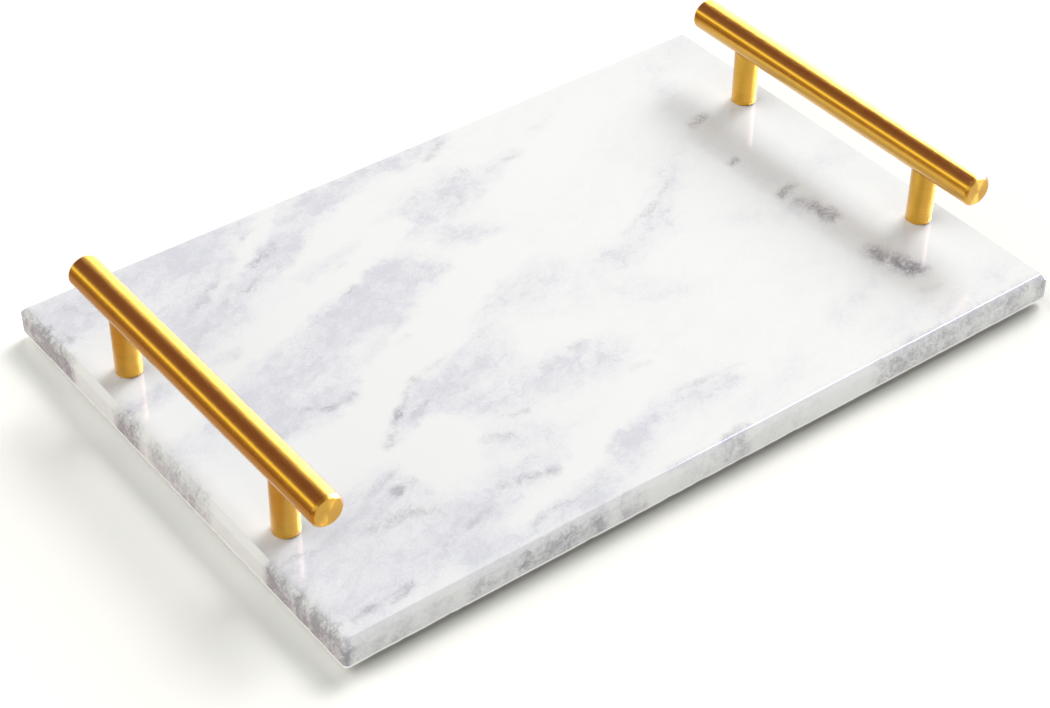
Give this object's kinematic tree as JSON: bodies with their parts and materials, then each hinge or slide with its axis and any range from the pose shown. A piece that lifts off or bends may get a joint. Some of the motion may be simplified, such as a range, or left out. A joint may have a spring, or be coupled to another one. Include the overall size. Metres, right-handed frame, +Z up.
{
  "type": "vanity tray",
  "caption": "Rectangular polished marble tray with bevelled top edge and a round brushed-gold bar handle on posts across each short end.",
  "frame": {"origin": "on the surface that the tray stands on, under the centre of the slab", "axes": "+X along the slab's length, from the left handle to the right handle; +Y along the handles, from front to rear; +Z up"},
  "size_m": [0.3, 0.2, 0.0454],
  "materials": {
    "marble": "polished",
    "brushed_gold": "satin",
    "steel": "satin",
    "rubber": "matte"
  },
  "bodies": {
    "root": {"marble_slab": "marble", "left_handle_bar": "brushed_gold", "left_front_post": "brushed_gold", "left_front_stud": "steel", "left_front_washer": "steel", "left_front_screw": "steel", "left_rear_post": "brushed_gold", "left_rear_stud": "steel", "left_rear_washer": "steel", "left_rear_screw": "steel", "right_handle_bar": "brushed_gold", "right_front_post": "brushed_gold", "right_front_stud": "steel", "right_front_washer": "steel", "right_front_screw": "steel", "right_rear_post": "brushed_gold", "right_rear_stud": "steel", "right_rear_washer": "steel", "right_rear_screw": "steel", "left_front_foot": "rubber", "left_rear_foot": "rubber", "right_front_foot": "rubber", "right_rear_foot": "rubber"}
  },
  "joints": []
}
